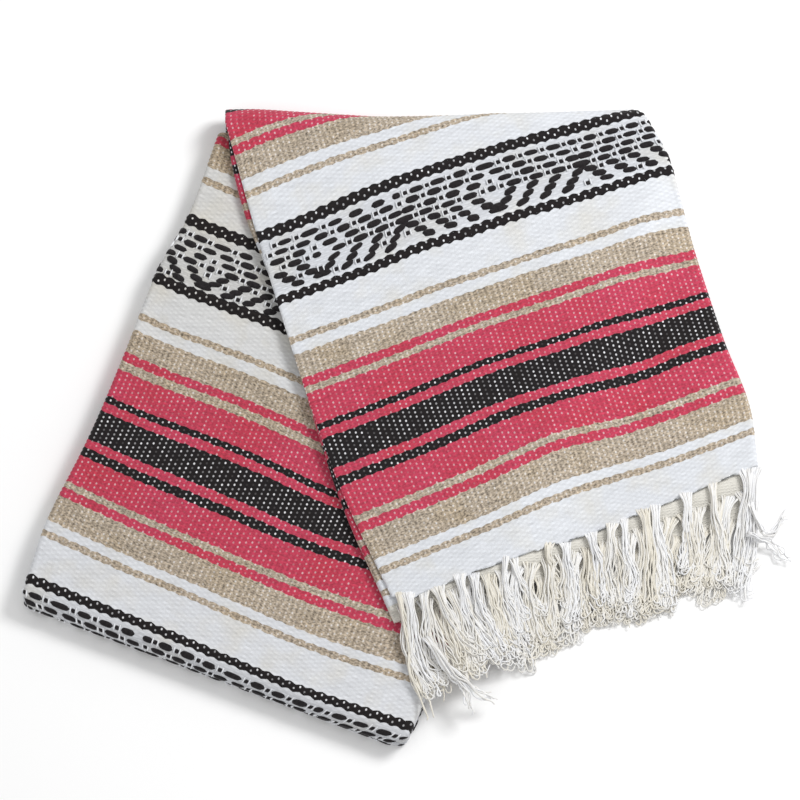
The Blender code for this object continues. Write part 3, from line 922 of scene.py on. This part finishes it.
def buildFrontLayers():
    # from the fringe end, up the arm and round the top fold
    top, bottom = folded["cloth"] + layers["gap"], folded["strip"]
    sections = []
    for distance, extraLeft, extraRight, sectionTop in frontEnds:
        left, right = endLine(distance, extraLeft, extraRight)
        sections.append(frontLayerRing(
            left, right, up, True, layers["endReach"], sectionTop, bottom,
            lambda e: layers["endLength"] - extraLeft * (1 - e) - extraRight * e))
    for share in np.arange(0.02, 1.0, layers["ringStep"]):
        left, right = edgePoint(frontLeft, share), edgePoint(frontRight, share)
        outOfStep = layers["topInset"] * smooth((share - 0.65) / 0.12)
        sections.append(frontLayerRing(
            left, right, up, True, readTable(peep, share)[0], top, bottom,
            lambda e: frontLength({"share": e}, share) + outOfStep, share))
    lastLeft, lastRight = edgePoint(frontLeft, 1.0), edgePoint(frontRight, 1.0)
    across = unit(lastRight - lastLeft)
    away = np.array((-across[1], across[0], 0.0))
    for turn in np.linspace(0.0, math.pi, 25):
        left, right, out = foldLines(lastLeft, lastRight, away, folded["topFold"],
                                     (0.0, folded["roundedEnd"]), np.array(turn))
        sections.append(frontLayerRing(
            left, right, out, False, -4.0, top, bottom,
            lambda e: (frontArm["leftLength"] * (1 - e) + frontArm["rightLength"] * e
                       + layers["foldLength"] * turn), 1.0))
    return loft("frontLayers", sections, frontWeave)


def backLayerRing(left, right, low, high, filled, share):
    # section of the hidden layers between two heights, with their edges in steps
    across, width = unit(right - left), np.linalg.norm(right - left)
    stack, cloth, turnedIn = folded["stack"], layers["backCloth"], folded["leftFold"]
    room, top = stack - cloth - 0.3, cloth + 0.3
    start, end, shelf = 15.1, width - folded["sideFold"] - 0.3, 14.5
    if filled:
        start, end, shelf = 3.0, width - 3.0, 1.5
    rightEdge = refine([(width - inset, depth) for depth, inset in hiddenRight])
    leftEdge = refine([(inset, depth) for depth, inset in reversed(hiddenLeft)])
    shape = [(e, top) for e in np.linspace(start, end, 8)] + rightEdge
    shape += [(e, stack) for e in np.linspace(width - 16.0, 16.0, 8)] + leftEdge
    shape.append((shelf, 2 * turnedIn + 0.15))
    place, depth = np.array(shape).T
    height = stack - depth
    points = left + across * place[:, None]
    if filled:
        points[:, 2] = low + (high - low) * height / room
    else:
        points[:, 2] = np.maximum(height, low + height * (12.0 - low) / 12.0)
    length = backLength({"share": np.clip(place / width, 0.0, 1.0)}, share)
    length = length + layers["inset"] + layers["ripple"] * np.sin(depth * 0.9)
    return points, np.stack([place - depth, length], axis=-1)


def refine(points):
    # three points for each of an outline's steps, on a softer line
    fine = []
    for k in range(len(points) - 1):
        a, b = np.array(points[k]), np.array(points[k + 1])
        fine += [tuple(a), tuple(a + (b - a) / 3), tuple(a + (b - a) * 2 / 3)]
    return fine + [points[-1]]


def buildBackLayers():
    # down the arm, over the cloth that goes back under it, and into the bottom fold
    sections = []
    returned = folded["returnShare"]
    shares = [(share, 0.0) for share in np.arange(0.0, returned, layers["ringStep"])]
    shares += [(share, layers["lift"]) for share in np.linspace(returned, 1.0, 10)]
    for share, low in shares:
        sections.append(backLayerRing(edgePoint(backLeft, share), edgePoint(backRight, share),
                                      low, layers["top"], False, share))
    lastLeft, lastRight = edgePoint(backLeft, 1.0), edgePoint(backRight, 1.0)
    across = unit(lastRight - lastLeft)
    away = np.array((across[1], -across[0], 0.0))
    half = folded["bottomFold"] - layers["lift"]
    for turn in np.linspace(0.0, math.pi / 2, 9)[:-1]:
        left, right, out = foldLines(lastLeft, lastRight, away, folded["bottomFold"],
                                     folded["noses"], np.array(turn))
        inward = away * (folded["bottomFold"] - half) * math.sin(turn)
        left, right = (left - inward) * (1, 1, 0), (right - inward) * (1, 1, 0)
        low = folded["bottomFold"] - half * math.cos(turn)
        high = folded["bottomFold"] + half * math.cos(turn)
        sections.append(backLayerRing(left, right, low, high, True, 1.0))
    return loft("backLayers", sections, backWeave)


print("laying in the hidden layers")
frontLayers = buildFrontLayers()
backLayers = buildBackLayers()
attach(frontLayers, "root")
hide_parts("front_arm_layers")
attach(backLayers, "root")
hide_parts("back_arm_layers")


# Diamonds: floats of black weft that stand proud of the cloth; the chain lines stand proud in the
# cloth's own relief

floats = {
    "rows": (-23.6, -17.5, -10.7, -3.6, 3.9, 12.0, 20.2),   # from the band's middle
    "pitch": 24.05,             # from dash to dash; eight of them from diamond to diamond
    "lean": 7.0,                # what a dash moves in from row to row
    "dash": 16.0,
    "lowerDash": 14.5,          # in the lower rows
    "longDash": 21.5,
    "shortDash": 9.0,
    "dashWidth": 6.0,
    "tilt": (1.7, -0.8),        # in the lower rows, right and left of a diamond's middle
    "knot": (9.0, 8.0, -5.6),   # length and width of the blot at a crossing, and its place,
    "lowKnot": (17.0, 7.5, -21.6),  # and of the one at a diamond's lower point
    "thick": 2.0,
    "between": (5.4, 4.2, 1.3), # length, width and thickness of the lump between two dashes,
    "leastGap": 4.5,            # where the gap is at least this
    "frontMiddles": (52.9, 52.9),   # a diamond's middle across the cloth, band by band
    "backMiddles": (51.0, 40.0),
}


class Lumps:
    # many small rounded lumps on a cloth, joined as one mesh
    def __init__(self):
        self.points, self.faces, self.places, self.count = [], [], [], 0

    def add(self, cloth, u, v, length, width, thick, lean=0.0, sink=0.25, around=8, sections=7):
        # a lens that lies across the warp, at u and v, its ends tucked in
        t = np.linspace(-1.0, 1.0, sections)
        size = np.maximum(1.0 - np.abs(t) ** 3.6, 0.07) ** 0.5
        angle = np.linspace(0.0, 2 * math.pi, around, endpoint=False)
        across = u + t[:, None] * length / 2 + 0.0 * angle[None, :]
        along = v + t[:, None] * lean + np.cos(angle)[None, :] * size[:, None] * width / 2
        lift = (np.sin(angle)[None, :] * size[:, None] - 1.0 + size[:, None]) * thick / 2
        points = cloth.at(across, along, lift + thick * (0.5 - sink) + 0.3)
        number = self.count + np.arange(sections * around).reshape(sections, around)
        nxt = np.roll(number, -1, axis=1)
        quads = np.stack([number[:-1], nxt[:-1], nxt[1:], number[1:]], axis=-1)
        self.faces.append(quads.reshape(-1, 4))
        self.points.append(points.reshape(-1, 3))
        self.places.append(np.stack([across, along], axis=-1).reshape(-1, 2))
        self.count += sections * around
        for cap in (number[0, ::-1], number[-1]):
            self.faces.append(np.stack([cap[[0, k, k + 1]] for k in range(1, around - 1)]))

    def build(self, name, material):
        return addPiece(name, np.concatenate(self.points), self.faces, material,
                        np.concatenate(self.places))


def bandMiddles(low, high):
    # pattern lengths of the bands of diamonds on a cloth
    middles = [weave["firstBar"] + weave["halfRepeat"] * (2 * k + 1) for k in range(4)]
    return [middle for middle in middles if low < middle < high]


def inCloth(cloth, u, v):
    column = int(round((u - cloth.u[0]) / cloth.columnStep))
    if not 3 < column < len(cloth.u) - 3:
        return False
    row = (v - cloth.rows[0]) / cloth.rowStep
    return cloth.first[column] + 2 < row < cloth.last[column] - 2


def dashesInRow(row):
    # middles and lengths of a row's dashes over half a diamond, from its middle to the crossing
    pitch, lean = floats["pitch"], floats["lean"]
    spots = []
    for k in range(1, 5):
        place = k * pitch - lean * abs(row)
        if abs(row) == 3 and k == 1:
            spots.append((0.0, floats["longDash"]))
        elif row == 0 and k == 4:
            spots.append((4 * pitch, floats["longDash"]))
        else:
            spots.append((place, floats["dash" if row > -1 else "lowerDash"]))
    if row == 0:
        spots.insert(0, (0.0, floats["shortDash"]))
    if row == 3:
        spots.append((4 * pitch, 10.0))
    return spots


def weaveDiamonds(cloth, middles, mirrored, dark, pale, random):
    period = 8 * floats["pitch"]
    turned = -1 if mirrored else 1
    bands = bandMiddles(cloth.rows[0] - 30, cloth.rows[-1] + 30)
    for bandMiddle, middle in zip(bands, middles):
        for share, knot in ((0.5, floats["knot"]), (0.0, floats["lowKnot"])):
            knotLength, knotWidth, knotPlace = knot
            for number in range(-1, 3):
                u, v = middle + (number + share) * period, bandMiddle + turned * knotPlace
                if inCloth(cloth, u, v):
                    dark.add(cloth, u, v, knotLength, knotWidth, floats["thick"])
        for row in range(-3, 4):
            v = bandMiddle + turned * floats["rows"][row + 3]
            half = dashesInRow(row)
            spots = sorted({round(side * place, 3): length for place, length in half
                            for side in (-1, 1) if side * place > -period / 2 + 1}.items())
            spots = [(middle + place + number * period, place, length)
                     for number in range(-1, 3) for place, length in spots]
            for number, (u, place, length) in enumerate(spots):
                tilt = 0.0
                if row < 0 and abs(place) > 4:
                    tilt = floats["tilt"][int(place < 0)]
                wobble = random.uniform(-0.6, 0.6, 4)
                width = floats["dashWidth"] + 1.4 * wobble[3]
                if inCloth(cloth, u, v):
                    dark.add(cloth, u + wobble[0], v + wobble[1] * 0.6, length + 2 * wobble[2],
                             width, floats["thick"], lean=turned * tilt)
                if number + 1 == len(spots) or random.uniform() > (0.9 if row > -1 else 0.35):
                    continue
                nextU, _, nextLength = spots[number + 1]
                gapStart, gapEnd = u + length / 2, nextU - nextLength / 2
                gapMiddle = (gapStart + gapEnd) / 2
                if gapEnd - gapStart < floats["leastGap"] or not inCloth(cloth, gapMiddle, v):
                    continue
                dark.add(cloth, gapMiddle, v, *floats["between"], around=6, sections=5)
                for side in (-1, 1):
                    pale.add(cloth, gapMiddle + side * 3.0, v + random.uniform(-0.8, 0.8), 1.5,
                             random.uniform(5.5, 8.0), 1.7, sink=-0.15, sections=5)


print("weaving in the diamonds")
random = np.random.default_rng(7)
blackYarn = yarnMaterial("blackYarn", wool["black"], wool["blackSheen"])
warpYarn = yarnMaterial("warpYarn", wool["warp"], wool["white"])
for cloth, middles, mirrored, name in ((frontCloth, floats["frontMiddles"], False, "front"),
                                       (backCloth, floats["backMiddles"], True, "back")):
    dark, pale = Lumps(), Lumps()
    weaveDiamonds(cloth, middles, mirrored, dark, pale, random)
    for lumps, ending, material in ((dark, "Floats", blackYarn), (pale, "WarpTies", warpYarn)):
        piece = lumps.build(name + ending, material)
        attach(piece, "root")


# Fringe

fringe = {
    "tassels": 25,              # on each of the lower layers
    "yarns": 13,                # in one of theirs
    "cream": (0.2, 0.9),        # how creamy they are
    "lap": 4.5,                 # a tassel starts this far up on its cloth,
    "splay": 0.5,               # and is wider there by this share
    "yarnRadius": 0.85,
    "sections": 19,             # along a yarn, and then round the loop at its tip
    "loopSections": 9,
    "sides": 5,
    "thickness": 3.4,           # of a tassel, from its lowest yarn to its highest
    "inset": 18.0,              # the lower layers' fringe ends this far before the right edge
}
topTassels = (   # x and y of the root, of two places along it and of the tip,
    # then width at root and tip, yarns, how creamy, how many of the yarns end in a loop
    (-1, -218, 5, -249, 13, -293, 30, -348, 6, 8, 7, 0.9, 0.2),
    (8, -218, 12, -249, 19, -285, 39, -321, 11, 14, 14, 0.1, 0.4),
    (24, -218, 25, -246, 29, -274, 45, -304, 8, 12, 10, 0.3, 0.6),
    (27, -266, 45, -294, 61, -313, 71, -334, 4, 5, 6, 0.1, 0.0),
    (30, -266, 51, -296, 73, -313, 96, -321, 4, 8, 6, 0.1, 0.0),
    (38, -212, 47, -236, 60, -256, 81, -278, 12, 12, 12, 0.3, 0.7),
    (59, -199, 63, -226, 76, -250, 101, -281, 10, 13, 14, 0.0, 0.7),
    (73, -200, 77, -227, 89, -249, 106, -271, 9, 12, 12, 0.0, 0.7),
    (85, -200, 91, -223, 99, -241, 111, -266, 7, 9, 8, 0.8, 0.7),
    (104, -180, 104, -208, 115, -221, 129, -236, 6, 9, 8, 0.0, 0.8),
    (113, -183, 119, -203, 131, -215, 147, -228, 8, 10, 9, 0.3, 0.8),
    (148, -162, 148, -178, 155, -192, 159, -213, 8, 11, 9, 0.9, 0.9),
    (164, -160, 167, -179, 173, -203, 167, -242, 9, 20, 15, 0.0, 0.8),
    (190, -147, 195, -168, 200, -194, 204, -219, 10, 14, 12, 0.0, 0.8),
    (211, -137, 209, -160, 210, -192, 213, -217, 10, 15, 13, 0.3, 0.8),
    (222, -132, 225, -157, 232, -192, 227, -215, 8, 12, 9, 0.0, 0.8),
    (242, -122, 248, -152, 249, -198, 242, -231, 11, 18, 14, 0.9, 0.9),
    (254, -117, 257, -152, 264, -187, 266, -223, 8, 21, 14, 0.0, 0.9),
    (284, -105, 287, -131, 286, -156, 280, -185, 11, 15, 12, 0.0, 0.8),
    (311, -95, 314, -125, 320, -161, 330, -200, 7, 12, 10, 0.5, 0.8),
    (349, -79, 347, -116, 343, -159, 334, -212, 21, 22, 26, 0.0, 0.8),
    (349, -116, 357, -139, 368, -143, 385, -121, 5, 5, 5, 0.0, 0.0),
    (349, -147, 361, -152, 372, -159, 384, -170, 5, 11, 6, 0.0, 0.0),
)
fringeLean = (   # share across, degrees to the right of straight down
    (0.00, 20.0),
    (0.12, 20.0),
    (0.28, 11.0),
    (0.48, 1.0),
    (0.75, -2.0),
    (1.00, -6.0),
)
fringeLayers = (
    {"name": "fringeTop", "node": "fringe_top", "depth": 0.0, "left": 0.0, "right": 0.0},
    {"name": "fringeMiddle", "node": "fringe_middle", "depth": 4.1, "left": 9.0, "right": 25.0},
    {"name": "fringeBottom", "node": "fringe_bottom", "depth": 8.6, "left": 18.0, "right": 48.0},
)
fringeReach = (  # share across, length on the middle and bottom layers
    (0.00, 96.0, 98.0),
    (0.12, 88.0, 86.0),
    (0.25, 78.0, 80.0),
    (0.36, 76.0, 82.0),
    (0.46, 80.0, 74.0),
    (0.56, 74.0, 66.0),
    (0.66, 86.0, 80.0),
    (0.78, 88.0, 72.0),
    (0.86, 80.0, 62.0),
    (0.92, 92.0, 86.0),
    (1.00, 82.0, 74.0),
)


class Yarns:
    # many soft yarns joined as one mesh
    def __init__(self):
        self.points, self.faces, self.places, self.count = [], [], [], 0

    def add(self, path, radius, cream, number):
        sides = fringe["sides"]
        ahead = unit(np.gradient(path, axis=0))
        side = unit(np.cross(ahead, up))
        over = np.cross(side, ahead)
        angle = np.linspace(0, 2 * math.pi, sides, endpoint=False)
        ring = (side[:, None, :] * np.cos(angle)[None, :, None]
                + over[:, None, :] * np.sin(angle)[None, :, None])
        points = path[:, None, :] + ring * np.asarray(radius)[:, None, None]
        sections = len(path)
        index = self.count + np.arange(sections * sides).reshape(sections, sides)
        nxt = np.roll(index, -1, axis=1)
        self.faces.append(np.stack([index[:-1], nxt[:-1], nxt[1:], index[1:]], axis=-1).reshape(-1, 4))
        for cap in (index[0, ::-1], index[-1]):
            self.faces.append(np.stack([cap[[0, k, k + 1]] for k in range(1, sides - 1)]))
        self.points.append(points.reshape(-1, 3))
        run = number + np.arange(sections) * 3.0
        place = np.stack([np.full((sections, sides), cream),
                          np.broadcast_to(run[:, None], (sections, sides))], axis=-1)
        self.places.append(place.reshape(-1, 2))
        self.count += sections * sides

    def build(self, name, material):
        return addPiece(name, np.concatenate(self.points), self.faces, material,
                        np.concatenate(self.places))


def bends(t, random, steps):
    # soft random waves along a yarn: height and number of waves for each step
    total = np.zeros_like(t)
    for amount, waves in steps:
        total += amount * np.sin(2 * math.pi * waves * random.uniform(0.7, 1.3) * t
                                 + random.uniform(0.0, 6.28))
    return total


def addTassel(yarns, tassel, depth, random):
    # yarns that leave the cloth together, spread towards the tip and mostly loop back there
    rootWidth, tipWidth, count, cream, looped = tassel[8:]
    middle = [(k / 3, *tassel[2 * k:2 * k + 2]) for k in range(4)]
    root, ahead = np.array(tassel[:2], float), np.array(tassel[2:4], float)
    root = root - unit(ahead - root) * fringe["lap"]
    middle[0] = (0.0, *root)
    t = np.linspace(0.0, 1.0, fringe["sections"])
    turn = np.linspace(0.0, 1.0, fringe["loopSections"] + 1)[1:]
    together = bends(t, random, ((0.9, 1.3), (0.6, 2.3))) * np.minimum(1.0, 4 * t)
    for strand in range(count):
        share = (strand + 0.5 + random.uniform(-0.4, 0.4)) / count - 0.5
        reach = random.uniform(0.8, 1.0)
        centre = readTable(middle, t * reach)
        ahead = unit(np.gradient(centre, axis=0))
        beside = np.stack([-ahead[:, 1], ahead[:, 0]], axis=-1)
        width = rootWidth + (tipWidth - rootWidth) * smooth(t)
        width = width - 0.35 * rootWidth * np.exp(-((t - 0.22) / 0.16) ** 2)
        width = width + fringe["splay"] * rootWidth * np.exp(-(t / 0.09) ** 2)
        own = bends(t, random, ((0.9, 2.1), (0.55, 4.3))) * smooth(2 * t) * (0.5 + t)
        path = centre + beside * (share * width + own + together)[:, None]

        # the last part turns back, or only curls a little
        heading = math.atan2(ahead[-1, 0], -ahead[-1, 1])
        loops = random.uniform() < looped
        side = random.choice((-1.0, 1.0))
        curl = side * (random.uniform(2.2, 3.9) if loops else random.uniform(0, 0.8))
        length = random.uniform(10.0, 20.0) if loops else random.uniform(3.0, 8.0)
        headings = heading + curl * smooth(1.5 * turn)
        moves = np.stack([np.sin(headings), -np.cos(headings)], axis=-1) * length / len(turn)
        path = np.concatenate([path, path[-1] + np.cumsum(moves, axis=0)])

        along = np.concatenate([t, 1.0 + 0.0 * turn])
        room = math.sqrt(max(1.0 - 4 * share**2, 0.0)) * random.uniform(0.0, 1.0)
        height = folded["strip"] - depth - random.uniform(1.0, 2.4)
        emerge = random.uniform(-0.01, 0.045)
        height = height + (folded["strip"] - depth + 1.1 - height) * smooth((along - emerge) / 0.05)
        height = height - 0.72 * (folded["strip"] - depth) * smooth((along - 0.1) / 0.8)
        height = height + fringe["thickness"] * room * smooth(along / 0.15)
        height[len(t):] += random.uniform(0.0, 2.0) * np.sin(math.pi * turn)
        height = height + coverHeight(path[:, 0], path[:, 1])
        height = np.maximum(height, fringe["yarnRadius"] + 0.2)
        radius = fringe["yarnRadius"] * random.uniform(0.75, 1.2) * (1.0 + 0.15 * np.sin(55.0 * along))
        radius[-1] *= 0.5
        yarns.add(np.concatenate([path, height[:, None]], axis=-1), radius,
                  min(1.0, max(0.0, cream + random.uniform(-0.3, 0.3))), random.uniform(0.0, 900.0))


def lowerTassels(layer, order, random):
    # the layers below aren't seen one by one, and theirs are spaced evenly
    left, right = endLine(4.5, layer["left"], layer["right"])
    across, width = unit(right - left), np.linalg.norm(right - left)
    rows = []
    for number in range(fringe["tassels"]):
        share = (number + 0.5 + 0.25 * order + random.uniform(-0.25, 0.25)) / fringe["tassels"]
        root = left + across * (share * (width - fringe["inset"]))
        reach = readTable(fringeReach, share)[order - 1] * random.uniform(0.9, 1.02)
        lean = math.radians(readTable(fringeLean, share)[0] + random.normal(0.0, 5.0))
        bow = random.uniform(-0.25, 0.25)
        row, spot = [], root[:2]
        for k in range(4):
            row += list(spot)
            heading = lean + bow * (k - 1)
            spot = spot + np.array((math.sin(heading), -math.cos(heading))) * reach / 3
        rows.append((*row, random.uniform(11, 15), random.uniform(14, 22), fringe["yarns"],
                     random.uniform(*fringe["cream"]), 0.8))
    return rows


def buildFringe(layer, order, random, material):
    yarns = Yarns()
    for tassel in topTassels if order == 0 else lowerTassels(layer, order, random):
        addTassel(yarns, tassel, layer["depth"], random)
    piece = yarns.build(layer["name"], material)
    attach(piece, "root")
    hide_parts(layer["node"])
    return piece


print("tying the fringe")
fringeYarn = yarnMaterial("fringeYarn", wool["warp"], wool["cream"], ownShare=True)
fringePieces = [buildFringe(layer, order, random, fringeYarn)
                for order, layer in enumerate(fringeLayers)]

# Floor, light and camera

studio = {
    "floor": 6.0,
    "distance": 9.0,            # from the camera to the middle of the photograph
    "elevation": 70.0,
    "frameWidth": 0.8,          # width of the photograph where the blanket lies
    "world": 0.62,
    "lights": (                 # name, place, size, power
        ("keyLight", (1.5, 0.9, 1.9), 0.9, 44.0),
        ("fillLight", (-1.6, -1.2, 2.4), 2.2, 8.0),
    ),
}


def buildStudio():
    mesh = bpy.data.meshes.new("floor")
    half = studio["floor"] / 2
    mesh.from_pydata([(-half, -half, 0), (half, -half, 0), (half, half, 0), (-half, half, 0)],
                     [], [(0, 1, 2, 3)])
    floor = bpy.data.objects.new("floor", mesh)
    bpy.context.collection.objects.link(floor)
    material, shader = startMaterial("paleFloor", 0.9, 0.0)
    shader.inputs["Base Color"].default_value = (0.97, 0.97, 0.97, 1.0)
    mesh.materials.append(material)

    world = bpy.data.worlds.new("softLight")
    world.use_nodes = True
    background = world.node_tree.nodes["Background"]
    background.inputs["Color"].default_value = (1.0, 1.0, 1.0, 1.0)
    background.inputs["Strength"].default_value = studio["world"]
    bpy.context.scene.world = world
    bpy.context.scene.view_settings.view_transform = "Standard"

    for name, place, size, power in studio["lights"]:
        light = bpy.data.lights.new(name, "AREA")
        light.size = size
        light.energy = power
        lamp = bpy.data.objects.new(name, light)
        lamp.location = place
        lamp.rotation_euler = (-lamp.location).to_track_quat("-Z", "Y").to_euler()
        bpy.context.collection.objects.link(lamp)

    lens = bpy.data.cameras.new("photoCamera")
    lens.sensor_width = 36.0
    lens.lens = lens.sensor_width * studio["distance"] / studio["frameWidth"]
    camera = bpy.data.objects.new("photoCamera", lens)
    middle = toFrame(np.zeros(3))
    tilt = math.radians(studio["elevation"])
    camera.location = middle + studio["distance"] * np.array((0.0, -math.cos(tilt), math.sin(tilt)))
    camera.rotation_euler = (math.pi / 2 - tilt, 0.0, 0.0)
    bpy.context.collection.objects.link(camera)
    bpy.context.scene.camera = camera


print("setting up the studio")
buildStudio()
